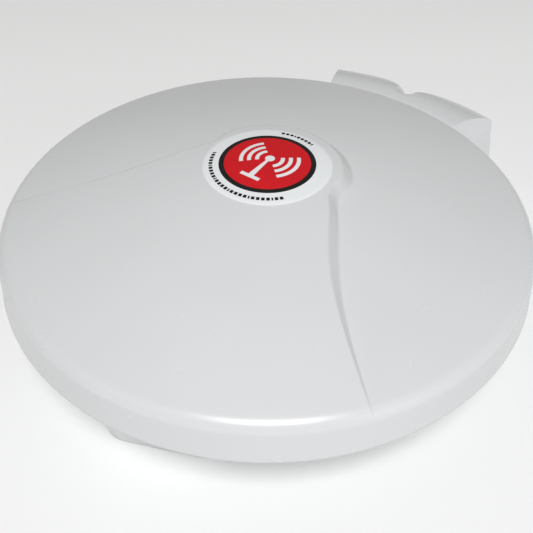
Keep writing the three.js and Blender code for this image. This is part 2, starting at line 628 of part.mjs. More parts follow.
function clampBolt(x) {
  const head = 238.7;
  return alongY([[0, head - 5], [5, head - 4.6], [8, head - 2], [8, head], [BOLT_R, head],
    [BOLT_R, BOLT_END_Y - 1], [3.2, BOLT_END_Y], [0, BOLT_END_Y]], x, CLAMP_Z);
}

function clampWasher(x) {
  const near = JAW_BACK + GAP;
  const inner = BOLT_R + 0.5;
  return alongY([[inner, near], [8.5, near], [8.5, near + 1.6], [inner, near + 1.6]], x, CLAMP_Z, 14);
}

function wingNut(x) {
  const near = JAW_BACK + 2 * GAP + 1.6;
  const hub = alongY([[0, near], [7, near], [5.8, near + 8], [0, near + 8]], 0, 0);
  const wings = bothSides.map(([, sign]) => {
    const outline = polygon([[4 * sign, near + 1], [8 * sign, near + 1], [15.5 * sign, near + 8.5],
      [16.5 * sign, near + 13.5], [13 * sign, near + 14.5], [7.5 * sign, near + 8], [4 * sign, near + 7]]);
    return prism(outline, -1.4, 1.4);
  });
  const boreR = BOLT_R + GAP;
  const bore = alongY([[0, near - 1], [boreR, near - 1], [boreR, near + 20], [0, near + 20]], 0, 0);
  return cut(join(hub, ...wings), bore).translate(x, 0, CLAMP_Z);
}

for (const [side, sign] of bothSides) {
  add(`clamp_bolt_${side}`, clampBolt(sign * BOLT_X), ZINC_STEEL);
  add(`clamp_washer_${side}`, clampWasher(sign * BOLT_X), ZINC_STEEL);
  add(`wing_nut_${side}`, wingNut(sign * BOLT_X), ZINC_STEEL);
}

export default group;
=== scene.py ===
"""Looks of the saucer TV antenna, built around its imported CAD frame."""

import json
import math

import bpy
import bmesh
import numpy as np
from mathutils import Matrix, Vector

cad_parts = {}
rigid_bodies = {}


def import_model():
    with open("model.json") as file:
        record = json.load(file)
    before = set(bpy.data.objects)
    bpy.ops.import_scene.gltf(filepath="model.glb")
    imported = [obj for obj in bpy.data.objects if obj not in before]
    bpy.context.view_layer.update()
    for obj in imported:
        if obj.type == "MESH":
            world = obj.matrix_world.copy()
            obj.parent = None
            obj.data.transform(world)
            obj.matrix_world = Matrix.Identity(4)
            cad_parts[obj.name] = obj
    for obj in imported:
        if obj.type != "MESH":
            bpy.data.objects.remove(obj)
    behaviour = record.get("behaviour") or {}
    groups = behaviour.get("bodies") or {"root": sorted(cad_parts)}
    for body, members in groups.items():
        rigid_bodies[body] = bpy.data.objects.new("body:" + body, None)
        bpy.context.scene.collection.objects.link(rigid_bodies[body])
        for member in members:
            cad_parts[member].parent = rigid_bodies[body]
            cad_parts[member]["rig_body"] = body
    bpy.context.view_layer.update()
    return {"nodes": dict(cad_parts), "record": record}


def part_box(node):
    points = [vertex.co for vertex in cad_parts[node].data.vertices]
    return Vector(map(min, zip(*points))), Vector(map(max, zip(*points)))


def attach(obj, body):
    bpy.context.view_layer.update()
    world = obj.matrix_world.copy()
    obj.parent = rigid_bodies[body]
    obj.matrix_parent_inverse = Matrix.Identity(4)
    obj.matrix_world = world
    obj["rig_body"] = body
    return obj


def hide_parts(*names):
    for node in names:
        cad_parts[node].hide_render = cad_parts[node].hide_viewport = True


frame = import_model()

MM = 0.001
NODES = frame["nodes"]
SLOT_OF = {part["node"]: part["material_slot"] for part in frame["record"]["subparts"]}

# ------------------------------------------------------------------ camera
AIM = Vector((0.0002, -0.0004, 0.0222))
AZIMUTH, ELEVATION, ROLL = math.radians(35.4), math.radians(44.5), math.radians(0.45)
CAMERA_DISTANCE = 0.5066
LENS = 43.31


def make_camera():
    data = bpy.data.cameras.new("camera")
    data.lens = LENS
    data.clip_start = 0.01
    camera = bpy.data.objects.new("camera", data)
    bpy.context.scene.collection.objects.link(camera)
    look = Vector((-math.sin(AZIMUTH) * math.cos(ELEVATION), math.cos(AZIMUTH) * math.cos(ELEVATION),
                   -math.sin(ELEVATION)))
    camera.rotation_mode = "QUATERNION"
    camera.rotation_quaternion = look.to_track_quat("-Z", "Y") @ Matrix.Rotation(ROLL, 3, "Z").to_quaternion()
    camera.location = AIM - look * CAMERA_DISTANCE
    bpy.context.scene.camera = camera


# --------------------------------------------------------------- materials
def new_material(name):
    material = bpy.data.materials.new(name)
    material.use_nodes = True
    return material, material.node_tree, material.node_tree.nodes["Principled BSDF"]


def noise(tree, scale, detail=3.0, stretch=(1, 1, 1)):
    """Noise over the piece's own space, with scale in waves per metre."""
    space = tree.nodes.new("ShaderNodeTexCoord")
    mapping = tree.nodes.new("ShaderNodeMapping")
    mapping.inputs["Scale"].default_value = stretch
    texture = tree.nodes.new("ShaderNodeTexNoise")
    texture.inputs["Scale"].default_value = scale
    texture.inputs["Detail"].default_value = detail
    tree.links.new(space.outputs["Object"], mapping.inputs["Vector"])
    tree.links.new(mapping.outputs["Vector"], texture.inputs["Vector"])
    return texture.outputs["Fac"]


def spread(tree, value, low, high):
    """Maps the middle of a noise to low..high."""
    ramp = tree.nodes.new("ShaderNodeMapRange")
    ramp.inputs["From Min"].default_value = 0.3
    ramp.inputs["From Max"].default_value = 0.7
    ramp.inputs["To Min"].default_value = low
    ramp.inputs["To Max"].default_value = high
    tree.links.new(value, ramp.inputs["Value"])
    return ramp.outputs["Result"]


def mix_colours(tree, share, first, second):
    mix = tree.nodes.new("ShaderNodeMix")
    mix.data_type = "RGBA"
    for socket, colour in ((mix.inputs["A"], first), (mix.inputs["B"], second)):
        if isinstance(colour, bpy.types.NodeSocket):
            tree.links.new(colour, socket)
        else:
            socket.default_value = (*colour, 1)
    tree.links.new(share, mix.inputs["Factor"])
    return mix.outputs["Result"]


def bump(tree, shader, height, depth):
    node = tree.nodes.new("ShaderNodeBump")
    node.inputs["Distance"].default_value = depth
    node.inputs["Strength"].default_value = 1.0
    tree.links.new(height, node.inputs["Height"])
    tree.links.new(node.outputs["Normal"], shader.inputs["Normal"])


def surface(name, colour, roughness, metallic=0.0, tone=0.03, patch=12.0, grain=600.0, grain_depth=0.01,
            stretch=(1, 1, 1), rough_spread=0.04):
    """A moulded, drawn or cast surface: uneven tone, uneven gloss and a fine grain."""
    material, tree, shader = new_material(name)
    darker = tuple(c * (1 - tone) for c in colour)
    lighter = tuple(min(1.0, c * (1 + tone)) for c in colour)
    tree.links.new(mix_colours(tree, spread(tree, noise(tree, patch), 0, 1), darker, lighter),
                   shader.inputs["Base Color"])
    tree.links.new(spread(tree, noise(tree, patch * 4, 4.0, stretch), roughness - rough_spread,
                          roughness + rough_spread), shader.inputs["Roughness"])
    shader.inputs["Metallic"].default_value = metallic
    bump(tree, shader, noise(tree, grain, 2.0, stretch), grain_depth * MM)
    return material


COVER_COLOUR = (0.665, 0.672, 0.68)
MATERIALS = {
    "cover_plastic": surface("cover_plastic", COVER_COLOUR, 0.25, tone=0.012, patch=9, grain=260,
                             grain_depth=0.012, rough_spread=0.03),
    "underside_plastic": surface("underside_plastic", (0.55, 0.555, 0.56), 0.42, grain=1500,
                                 grain_depth=0.05),
    "label_film": surface("label_film", (0.80, 0.82, 0.835), 0.3, tone=0.01, grain=900, grain_depth=0.004),
    "black_rubber": surface("black_rubber", (0.022, 0.022, 0.023), 0.75, tone=0.25, grain=2200,
                            grain_depth=0.06),
    "array_aluminium": surface("array_aluminium", (0.78, 0.79, 0.80), 0.3, 1.0, grain=900, grain_depth=0.01,
                               stretch=(0.08, 1, 1)),
    "cast_alloy": surface("cast_alloy", (0.60, 0.61, 0.62), 0.45, 1.0, tone=0.08, grain=1400,
                          grain_depth=0.06),
    "black_nylon": surface("black_nylon", (0.03, 0.03, 0.032), 0.5, tone=0.15, grain=1200, grain_depth=0.03),
    "natural_nylon": surface("natural_nylon", (0.72, 0.69, 0.60), 0.45, grain=1000, grain_depth=0.02),
    "tinned_steel": surface("tinned_steel", (0.62, 0.63, 0.64), 0.32, 1.0, tone=0.08, grain=300),
    "cable_jacket": surface("cable_jacket", (0.02, 0.02, 0.022), 0.45, tone=0.2, grain=1500,
                            grain_depth=0.02),
    "nickel_plate": surface("nickel_plate", (0.72, 0.69, 0.63), 0.2, 1.0, tone=0.04, grain=500),
    "zinc_plate": surface("zinc_plate", (0.66, 0.67, 0.69), 0.28, 1.0, tone=0.07, patch=60, grain=1200,
                          grain_depth=0.02, rough_spread=0.08),
    "circuit_board": surface("circuit_board", (0.02, 0.16, 0.07), 0.35, tone=0.3, patch=220, grain=400,
                             grain_depth=0.03),
}
INK_RED = surface("ink_red", (0.60, 0.006, 0.012), 0.5, tone=0.05, patch=60, grain=900, grain_depth=0.004)
INK_BLACK = surface("ink_black", (0.012, 0.011, 0.011), 0.35, tone=0.2, patch=60, grain=900,
                    grain_depth=0.004)
INK_WHITE = surface("ink_white", (0.80, 0.81, 0.82), 0.3, tone=0.02, grain=900, grain_depth=0.004)


def finish_cad_nodes():
    for name, node in NODES.items():
        material = MATERIALS[SLOT_OF[name]]
        node.data.materials.clear()
        node.data.materials.append(material)
        node.data.set_sharp_from_angle(angle=math.radians(32))


# ------------------------------------------------------------- mesh helpers
def new_piece(name, points, faces, slot, materials=None, face_materials=None, sharp=32):
    mesh = bpy.data.meshes.new(name)
    mesh.from_pydata([tuple(map(float, p)) for p in points], [], faces)
    for material in materials or [MATERIALS[slot]]:
        mesh.materials.append(material)
    if face_materials is not None:
        mesh.polygons.foreach_set("material_index", face_materials)
    mesh.validate()
    bm = bmesh.new()
    bm.from_mesh(mesh)
    bmesh.ops.recalc_face_normals(bm, faces=bm.faces)
    bm.to_mesh(mesh)
    bm.free()
    mesh.shade_smooth()
    mesh.set_sharp_from_angle(angle=math.radians(sharp))
    piece = bpy.data.objects.new(name, mesh)
    bpy.context.scene.collection.objects.link(piece)
    return piece


def stand_for(piece, *nodes):
    """The piece rides on its nodes' body and is shown instead of them."""
    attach(piece, NODES[nodes[0]]["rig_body"])
    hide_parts(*nodes)


def ring_faces(ring_count, size, cap_start=True, cap_end=True, closed=False):
    """Quads between rings of points; closed joins the last ring to the first."""
    faces = []
    for ring in range(ring_count if closed else ring_count - 1):
        a, b = ring * size, ((ring + 1) % ring_count) * size
        faces += [(a + i, a + (i + 1) % size, b + (i + 1) % size, b + i) for i in range(size)]
    if cap_start and not closed:
        faces.append(tuple(reversed(range(size))))
    if cap_end and not closed:
        faces.append(tuple(range((ring_count - 1) * size, ring_count * size)))
    return faces


# --------------------------------------------------------------- top cover
cover_low, cover_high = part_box("top_cover")
RIM_R = -cover_low.y / MM
RIM_Z = cover_low.z / MM
RIM_HEIGHT, RIM_DRAFT, RIM_FILLET = 25.6, 4.0, 5.9
COVER_WALL = 3.0
DOME_RISE = cover_high.z / MM - RIM_Z - RIM_HEIGHT
FIELD_RISE, DOME_POWER = 29.4, 1.7
NOSE_TOP_R, NOSE_FOOT_R = 52.0, 59.0
PINCH_ANGLE, PINCH_WIDTH, PINCH_TOP, PINCH_FOOT = 97.0, 12.0, 3.5, 4.0
WEDGE_ANGLE = 52.8
EDGE_SOFTNESS = 0.16


def upper_edge_angle(r):
    return WEDGE_ANGLE + 26 * np.exp(-(np.maximum(r, 58) - 58) / 24)


def foot_angle(r):
    return WEDGE_ANGLE + 31.5 * np.exp(-(np.maximum(r, 61) - 61) / 30)


def pinch(angle):
    return np.exp(-((angle - PINCH_ANGLE) / PINCH_WIDTH) ** 2)


def outline(wedge_angle, wedge_end, nose_r, nose_depth, nose_start):
    """Right half of a line round the plateau, from beyond the rim to the back of the nose."""
    wedge_r = np.linspace(235, wedge_end, 70)
    nose_angle = np.linspace(nose_start, 180, 50)
    r = np.concatenate([wedge_r, nose_r - nose_depth * pinch(nose_angle)])
    angle = np.radians(np.concatenate([wedge_angle(wedge_r), nose_angle]))
    line = np.stack([r * np.sin(angle), -r * np.cos(angle)], 1)
    for _ in range(3):
        quarter = 0.75 * line[:-1] + 0.25 * line[1:]
        three = 0.25 * line[:-1] + 0.75 * line[1:]
        line = np.vstack([line[:1], np.stack([quarter, three], 1).reshape(-1, 2), line[-1:]])
        line = line[::2] if len(line) > 400 else line
    return line


UPPER_EDGE = outline(upper_edge_angle, 59, NOSE_TOP_R, PINCH_TOP, 88)
FOOT = outline(foot_angle, 62, NOSE_FOOT_R, PINCH_FOOT, 91)


def signed_distance(points, line):
    """Distance from each point to the line, positive on the plateau's side."""
    start, step = line[:-1], np.diff(line, axis=0)
    result = np.empty(len(points))
    for at in range(0, len(points), 4000):
        offset = points[at:at + 4000, None] - start[None]
        along = np.clip((offset * step).sum(2) / (step ** 2).sum(1), 0, 1)
        gap = offset - along[..., None] * step
        nearest = (gap ** 2).sum(2).argmin(1)
        row = np.arange(len(nearest))
        side = np.sign(step[nearest, 0] * offset[row, nearest, 1]
                       - step[nearest, 1] * offset[row, nearest, 0])
        result[at:at + 4000] = side * np.sqrt((gap[row, nearest] ** 2).sum(1))
    return result


def soft_step(t, softness):
    """0 below 0, 1 above 1, straight between, with rounded corners."""
    def ramp(x):
        return np.where(x < -softness, 0, np.where(x > softness, x, (x + softness) ** 2 / (4 * softness)))
    return ramp(t) - ramp(t - 1)


def plateau_share(x, y):
    points = np.stack([np.abs(x), y], 1)
    foot, edge = signed_distance(points, FOOT), signed_distance(points, UPPER_EDGE)
    width = np.maximum(foot - edge, 1.2)
    return soft_step(foot / width, EDGE_SOFTNESS)


def cover_height(x, y):
    r = np.hypot(x, y)
    rise = FIELD_RISE + (DOME_RISE - FIELD_RISE) * plateau_share(x, y)
    return RIM_Z + RIM_HEIGHT + rise * (1 - (r / RIM_R) ** DOME_POWER)


def dome_height(r):
    return RIM_Z + RIM_HEIGHT + DOME_RISE * (1 - (np.asarray(r) / RIM_R) ** DOME_POWER)


def ring_angles(r, half_count=150):
    """Angles round the ring, closer together where it crosses the riser."""
    fine = np.linspace(0, 180, 1801)
    centre = (upper_edge_angle(r) + foot_angle(r)) / 2
    half = (foot_angle(r) - upper_edge_angle(r)) / 2 + 2.5
    weight = 1 + 9 * min(1, r / 60) * np.exp(-((fine - centre) / half) ** 4)
    share = np.concatenate([[0], np.cumsum((weight[1:] + weight[:-1]) / 2)])
    right = np.interp(np.linspace(0, share[-1], half_count + 1), share, fine)
    return np.radians(np.concatenate([right, 360 - right[-2:0:-1]]))


def top_cover_rings(drop, inset, radii, fillet_steps):
    rings = []
    for r in radii:
        a = ring_angles(r)
        x, y = r * np.sin(a), -r * np.cos(a)
        rings.append(np.stack([x, y, cover_height(x, y) - drop], 1))
    corner_r = RIM_R - RIM_DRAFT - inset
    start_r, end_r = corner_r - RIM_FILLET, corner_r + RIM_FILLET * RIM_DRAFT / RIM_HEIGHT
    a = ring_angles(RIM_R)
    sine, cosine = np.sin(a), -np.cos(a)
    start_z = cover_height(start_r * sine, start_r * cosine) - drop
    corner_z = cover_height(corner_r * sine, corner_r * cosine) - drop
    for t in np.linspace(0, 1, fillet_steps):
        r = start_r * (1 - t) ** 2 + 2 * corner_r * t * (1 - t) + end_r * t * t
        z = start_z * (1 - t) ** 2 + 2 * corner_z * t * (1 - t) + (corner_z - RIM_FILLET) * t * t
        rings.append(np.stack([r * sine, r * cosine, z], 1))
    for share in (0.35, 0.7, 0.93):
        z = (1 - share) * rings[-1][:, 2].mean() + share * RIM_Z if share > 0.5 else None
        z = RIM_Z + (corner_z - RIM_FILLET - RIM_Z) * (1 - share) if z is None else np.full(len(a), z)
        r = RIM_R - inset - RIM_DRAFT * (z - RIM_Z) / RIM_HEIGHT
        rings.append(np.stack([r * sine, r * cosine, z], 1))
    return rings, sine, cosine


def make_top_cover():
    radii = np.concatenate([np.arange(0.5, 44, 2.6), np.arange(44.6, 64, 0.65), np.arange(64.5, 179.5, 2.2)])
    outer, sine, cosine = top_cover_rings(0, 0, radii, 11)
    inner, _, _ = top_cover_rings(COVER_WALL, COVER_WALL, np.concatenate(
        [[0.5, 20, 40], np.arange(48, 64, 2.5), np.arange(68, 176, 9)]), 5)
    edge = []
    for inset, height in ((0.05, 0.8), (0.3, 0.25), (0.9, 0), (COVER_WALL - 0.6, 0), (COVER_WALL - 0.1, 0.5)):
        r = RIM_R - inset
        edge.append(np.stack([r * sine, r * cosine, np.full(len(sine), RIM_Z + height)], 1))
    rings = outer + edge + inner[::-1]
    points = np.concatenate(rings) * MM
    piece = new_piece("radome_cover", points, ring_faces(len(rings), len(sine)), "cover_plastic", sharp=40)
    stand_for(piece, "top_cover")


# ------------------------------------------------------------------- label
LABEL_R, BLACK_RING_R, RED_DISC_R = 44.6, 33.4, 29.8
LABEL_LIFT = 0.45


def make_label():
    """Printed film on the nose: white border, black ring and red disc."""
    radii = [0.4, 6, 12, 18, 24, RED_DISC_R, BLACK_RING_R, 37, 41, LABEL_R - 0.15, LABEL_R]
    count = 144
    a = np.linspace(0, 2 * math.pi, count, endpoint=False)
    rings = []
    for r in radii:
        z = dome_height(r) + LABEL_LIFT - (0.08 if r == LABEL_R else 0)
        rings.append(np.stack([r * np.cos(a), r * np.sin(a), np.full(count, z)], 1))
    for r in (LABEL_R, 30, 0.4):
        rings.append(np.stack([r * np.cos(a), r * np.sin(a), np.full(count, dome_height(r) + 0.2)], 1))
    faces = ring_faces(len(rings), count)
    zone = []
    for ring in range(len(rings) - 1):
        outer_r = radii[ring + 1] if ring + 1 < len(radii) else LABEL_R
        zone += [1 if outer_r <= RED_DISC_R else 2 if outer_r <= BLACK_RING_R else 0] * count
    zone += [1, 0]
    piece = new_piece("label_disc", np.concatenate(rings) * MM, faces, "label_film",
                      [MATERIALS["label_film"], INK_RED, INK_BLACK], zone)
    stand_for(piece, "badge_label")


def draped_patches(name, patches, ink):
    """Thin printed shapes on the label. Each patch is a grid of plan points, as (rows, columns, 2)."""
    points, faces = [], []
    for grid in patches:
        rows, columns = grid.shape[:2]
        x, y = grid[..., 0].ravel(), grid[..., 1].ravel()
        z = dome_height(np.hypot(x, y)) + LABEL_LIFT
        start = len(points)
        points += list(zip(x, y, z + 0.07)) + list(zip(x, y, z - 0.05))
        under = rows * columns

        def at(i, j, below=False):
            return start + i * columns + j + (under if below else 0)
        for i in range(rows - 1):
            for j in range(columns - 1):
                faces.append((at(i, j), at(i, j + 1), at(i + 1, j + 1), at(i + 1, j)))
                faces.append((at(i, j, True), at(i + 1, j, True), at(i + 1, j + 1, True), at(i, j + 1, True)))
        border = ([(0, j) for j in range(columns)] + [(i, columns - 1) for i in range(1, rows)]
                  + [(rows - 1, j) for j in range(columns - 2, -1, -1)]
                  + [(i, 0) for i in range(rows - 2, 0, -1)])
        for (i, j), (k, l) in zip(border, border[1:] + border[:1]):
            faces.append((at(k, l), at(i, j), at(i, j, True), at(k, l, True)))
    piece = new_piece(name, np.array(points) * MM, faces, "label_film", [ink], sharp=60)
    bm = bmesh.new()
    bm.from_mesh(piece.data)
    bmesh.ops.recalc_face_normals(bm, faces=bm.faces)
    bm.to_mesh(piece.data)
    bm.free()
    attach(piece, NODES["badge_label"]["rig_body"])
    return piece


def arc_patch(centre, r0, r1, a0, a1, columns=24):
    angle = np.radians(np.linspace(a0, a1, columns))
    r = np.linspace(r0, r1, 4)[:, None]
    return np.stack([centre[0] + r * np.cos(angle), centre[1] + r * np.sin(angle)], 2)


def bar_patch(low, high, taper=1.0):
    u = np.linspace(0, 1, 8)[:, None]
    half = (high[0] - low[0]) / 2 * (1 + (taper - 1) * u)
    middle = (low[0] + high[0]) / 2
    x = middle + half * np.linspace(-1, 1, 4)
    return np.stack([x, np.broadcast_to(low[1] + u * (high[1] - low[1]), x.shape)], 2)


def make_label_marks():
    """A plain broadcasting sign on the red disc, and two runs of dashes on the border."""
    top = (0.0, 3.0)
    sign = [arc_patch(top, 0.05, 3.4, 0, 360, 40), bar_patch((-2.1, -19), (2.1, 1.2), 0.45),
            bar_patch((-7.5, -21.5), (7.5, -18.6))]
    for r in (7.5, 13, 18.5):
        for middle in (0, 180):
            sign.append(arc_patch(top, r, r + 2.7, middle - 42, middle + 42))
    draped_patches("label_sign", sign, INK_WHITE)
    dashes = []
    for middle, half in ((90, 19), (258, 62)):
        angle = middle - half
        step = 0
        while angle < middle + half:
            length = 3.4 if step % 5 else 1.6
            dashes.append(arc_patch((0, 0), 37.6, 40.2, angle, angle + length, 4))
            angle += length + 1.5
            step += 1
    draped_patches("label_dashes", dashes, INK_BLACK)


# ------------------------------------------------------------ solid helpers
def ring_angle(i, segments):
    return 2 * math.pi * i / segments


def lathe_mesh(profile, segments=48, name="turned"):
    """Closed solid from (radius, height) points turned about Z; a radius of 0 closes on the axis."""
    bm = bmesh.new()
    rings = []
    for r, z in profile:
        if r == 0:
            rings.append([bm.verts.new((0, 0, z))] * segments)
        else:
            rings.append([bm.verts.new((r * math.cos(ring_angle(i, segments)),
                                        r * math.sin(ring_angle(i, segments)), z))
                          for i in range(segments)])
    for lower, upper in zip(rings, rings[1:] + rings[:1]):
        for i in range(segments):
            j = (i + 1) % segments
            corners = list(dict.fromkeys((lower[i], lower[j], upper[j], upper[i])))
            if len(corners) > 2:
                bm.faces.new(corners)
    return finish_solid(bm, name)


def loft_mesh(rings, name="lofted"):
    bm = bmesh.new()
    rows = [[bm.verts.new(point) for point in ring] for ring in rings]
    for lower, upper in zip(rows, rows[1:]):
        for i in range(len(lower)):
            j = (i + 1) % len(lower)
            bm.faces.new((lower[i], lower[j], upper[j], upper[i]))
    bm.faces.new(rows[0][::-1])
    bm.faces.new(rows[-1])
    return finish_solid(bm, name)


def prism_mesh(outline, z0, z1, name="prism"):
    return loft_mesh([[(x, y, z0) for x, y in outline], [(x, y, z1) for x, y in outline]], name)


def finish_solid(bm, name):
    bmesh.ops.recalc_face_normals(bm, faces=bm.faces)
    mesh = bpy.data.meshes.new(name)
    bm.to_mesh(mesh)
    bm.free()
    return mesh


def applied(mesh, add_modifiers):
    """The mesh with modifiers applied, worked out on an object that is then thrown away."""
    helper = bpy.data.objects.new("helper", mesh)
    bpy.context.scene.collection.objects.link(helper)
    add_modifiers(helper)
    graph = bpy.context.evaluated_depsgraph_get()
    result = bpy.data.meshes.new_from_object(helper.evaluated_get(graph))
    bpy.data.objects.remove(helper)
    return result


def combine(base, tool, operation):
    tool_object = bpy.data.objects.new("tool", tool)
    bpy.context.scene.collection.objects.link(tool_object)

    def boolean(helper):
        modifier = helper.modifiers.new("boolean", "BOOLEAN")
        modifier.object = tool_object
        modifier.operation = operation
        modifier.solver = "EXACT"
    result = applied(base, boolean)
    bpy.data.objects.remove(tool_object)
    return result


def rounded(mesh, width, segments=2, angle=35):
    def bevel(helper):
        modifier = helper.modifiers.new("bevel", "BEVEL")
        modifier.width = width
        modifier.segments = segments
        modifier.limit_method = "ANGLE"
        modifier.angle_limit = math.radians(angle)
        modifier.use_clamp_overlap = True
    return applied(mesh, bevel)


def welded(mesh, distance=0.02):
    bm = bmesh.new()
    bm.from_mesh(mesh)
    bmesh.ops.remove_doubles(bm, verts=bm.verts, dist=distance)
    bmesh.ops.dissolve_degenerate(bm, edges=bm.edges, dist=distance)
    return finish_solid(bm, mesh.name)


def piece_from(name, mesh, slot, scale=MM, sharp=35, place=(0, 0, 0)):
    """A piece from a mesh in millimetres."""
    mesh.transform(Matrix.Translation(place) @ Matrix.Scale(scale, 4))
    mesh.name = name
    mesh.materials.clear()
    mesh.materials.append(MATERIALS[slot])
    mesh.shade_smooth()
    mesh.set_sharp_from_angle(angle=math.radians(sharp))
    piece = bpy.data.objects.new(name, mesh)
    bpy.context.scene.collection.objects.link(piece)
    return piece


# ----------------------------------------------------------- lower housing
HOUSING_WALL, HOUSING_LOW, HOUSING_TOP = 3.0, 0.5, RIM_Z - 0.4
FLARE, TAIL_FLARE = 0.18, 0.25
PROW_Y, PROW_RAKE, PROW_SLOPE = -173.0, 0.13, 0.424
HULL_HALF, TAIL_SLOPE, TAIL_HALF, TAIL_Y = 66.0, 0.313, 97.5, 239.0
BLOCK_INNER_R, BLOCK_OUTER_R, BLOCK_TOP_Z, BLOCK_BACK_Z = 191.5, 250.0, 77.0, 66.0
NOTCH_Y, NOTCH_HALF, NOTCH_DEPTH, NOTCH_ROOT_R = 226.0, 48.0, 19.3, 0.8
NOTCH_EDGE_Z, NOTCH_EDGE_R, NOTCH_EDGE_RISE = 60.0, 18.0, 17.5
BOLT_X = 52.0


def rounded_corner(before, corner, after, radius, steps=6):
    """Quadratic rounding of a plan corner."""
    corner = np.array(corner, float)
    a = corner + (np.array(before) - corner) / np.linalg.norm(np.array(before) - corner) * radius
    b = corner + (np.array(after) - corner) / np.linalg.norm(np.array(after) - corner) * radius
    return [tuple(a * (1 - t) ** 2 + 2 * corner * t * (1 - t) + b * t * t) for t in np.linspace(0, 1, steps)]


def hull_outline(wall, z):
    side = HULL_HALF - wall - FLARE * z
    tip = PROW_Y - PROW_RAKE * z + wall * math.hypot(1, PROW_SLOPE)
    corner = (side, tip + PROW_SLOPE * side)
    tail_half = TAIL_HALF - TAIL_FLARE * z - wall * math.hypot(1, TAIL_SLOPE)
    neck = (side, TAIL_Y - (tail_half - side) / TAIL_SLOPE)
    beyond_y = BLOCK_OUTER_R + 10
    end = (tail_half + (beyond_y - TAIL_Y) * TAIL_SLOPE, beyond_y)
    nose = rounded_corner((-side, corner[1]), (0, tip), corner, 8)
    right = (nose[3:] + rounded_corner((0, tip), corner, neck, 13)
             + rounded_corner(corner, neck, end, 12) + [end])
    return right + [(-x, y) for x, y in reversed(right)]


def hull_solid(wall, z0, z1):
    return loft_mesh([[(x, y, z) for x, y in hull_outline(wall, z)] for z in (z0, z1)])


def bezier(points, steps):
    a, b, c, d = np.array(points, float)
    t = np.linspace(0, 1, steps)[:, None]
    return a * (1 - t) ** 3 + 3 * b * t * (1 - t) ** 2 + 3 * c * t * t * (1 - t) + d * t ** 3


def section_solid(wall, z0, low_edge=0.0):
    outer = BLOCK_OUTER_R - wall
    ridge = bezier([(outer, BLOCK_BACK_Z - wall), (outer - 8, BLOCK_BACK_Z + 4.5 - wall),
                    (228, BLOCK_TOP_Z + 0.5 - wall), (205, BLOCK_TOP_Z - wall)], 18)
    inner = BLOCK_INNER_R + wall
    top = BLOCK_TOP_Z - wall
    shoulder = bezier([(204.5, top), (198, top), (inner + 1, top - 1), (inner, top - 5)], 10)
    return lathe_mesh([(0, z0), (outer - low_edge, z0), (outer, z0 + low_edge), *map(tuple, ridge),
                       *map(tuple, shoulder),
                       (inner, HOUSING_TOP - wall), (0, HOUSING_TOP - wall)], 288)


def lobe_start(reach):
    """Where the edge of a grown lobe leaves the round root of the notch, as an angle on the lobe."""
    low, high = 0.0, math.pi / 2
    for _ in range(40):
        t = (low + high) / 2
        c = math.cos(t)
        slope = math.hypot(c / NOTCH_HALF, math.sin(t) / NOTCH_DEPTH)
        span = NOTCH_HALF ** 2 * (1 - c) + NOTCH_DEPTH ** 2 * (1 + c)
        low, high = (low, t) if span > 2 * reach / slope else (t, high)
    return high


def notch_outline(grow):
    reach = NOTCH_ROOT_R + grow
    t = np.linspace(lobe_start(reach), math.pi / 2, 28)
    normal = np.stack([np.cos(t) / NOTCH_HALF, -np.sin(t) / NOTCH_DEPTH], 1)
    normal *= reach / np.linalg.norm(normal, axis=1)[:, None]
    lobe = np.stack([NOTCH_HALF * (1 - np.cos(t)), NOTCH_Y + NOTCH_DEPTH * np.sin(t)], 1) + normal
    turn = math.atan2(lobe[0, 0], NOTCH_Y - lobe[0, 1])
    root = [(reach * math.sin(a), NOTCH_Y - reach * math.cos(a)) for a in np.linspace(0, turn, 9)[1:-1]]
    right = root + [tuple(point) for point in lobe]
    beyond = BLOCK_OUTER_R + 20
    return ([(-x, y) for x, y in reversed(right)] + [(0, NOTCH_Y - reach)] + right
            + [(NOTCH_HALF, beyond), (-NOTCH_HALF, beyond)])


def notch_solid(wall):
    rises = np.linspace(0, NOTCH_EDGE_RISE, 14)
    levels = [(-20.0, 0.0)] + [(NOTCH_EDGE_Z + rise,
                                NOTCH_EDGE_R - math.sqrt(NOTCH_EDGE_R ** 2 - rise ** 2))
                               for rise in rises]
    return loft_mesh([[(x, y, z) for x, y in notch_outline(wall + grow)] for z, grow in levels])


def rod_along_y(radius, y0, y1, x, z, segments=40):
    mesh = lathe_mesh([(0, y0), (radius, y0), (radius, y1), (0, y1)], segments)
    mesh.transform(Matrix.Translation((x, 0, z)) @ Matrix.Rotation(-math.pi / 2, 4, "X"))
    return mesh


def post(radius, z0, z1, x, y, segments=28):
    mesh = lathe_mesh([(0, z0), (radius, z0), (radius, z1), (0, z1)], segments)
    mesh.transform(Matrix.Translation((x, y, 0)))
    return mesh


def centre_of(node):
    corner_low, corner_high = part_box(node)
    return (Vector(corner_low) + Vector(corner_high)) / 2 / MM


PLATE_SCREWS = [name for name in NODES if name.startswith("plate_screw")]
TRAY_SCREWS = [name for name in NODES if name.startswith("tray_screw")]


HULL_CEILING = 85                # above everything, so that the section decides the top
HOUSING_EDGE = 0.9
SCREW_BOSS_R, SCREW_BORE_R, SCREW_BORE_TOP = 4, 1.8, 15.3
BOLT_PAD_R, BOLT_HOLE_R = 9, 4.4
TRAY_BORE_R, CABLE_HOLE_R, CABLE_HOLE_Y = 2.1, 5, 62


